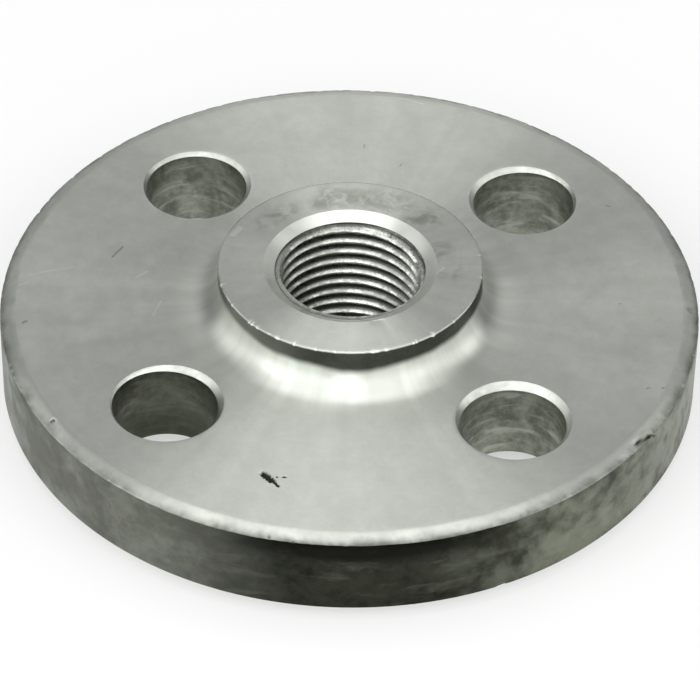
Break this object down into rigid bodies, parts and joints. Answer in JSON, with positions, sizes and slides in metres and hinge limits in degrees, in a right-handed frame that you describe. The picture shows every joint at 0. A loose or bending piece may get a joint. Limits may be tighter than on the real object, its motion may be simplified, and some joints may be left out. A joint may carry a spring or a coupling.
{
  "type": "threaded pipe flange",
  "caption": "Round steel flange with a short hub, a threaded bore and a ring of bolt holes, for bolting a threaded pipe end to a matching flange.",
  "frame": {"origin": "centre of the raised sealing face, on the pipe axis", "axes": "+Z along the pipe axis, from the sealing face to the hub; the bolt holes lie at 45 degrees to X and Y"},
  "size_m": [0.095, 0.095, 0.02],
  "materials": {
    "steel": "bright turned steel with faint concentric tool marks, chamfers brighter than the faces, rim darker and mottled"
  },
  "bodies": {
    "root": {"threaded_flange": "steel"}
  },
  "joints": []
}
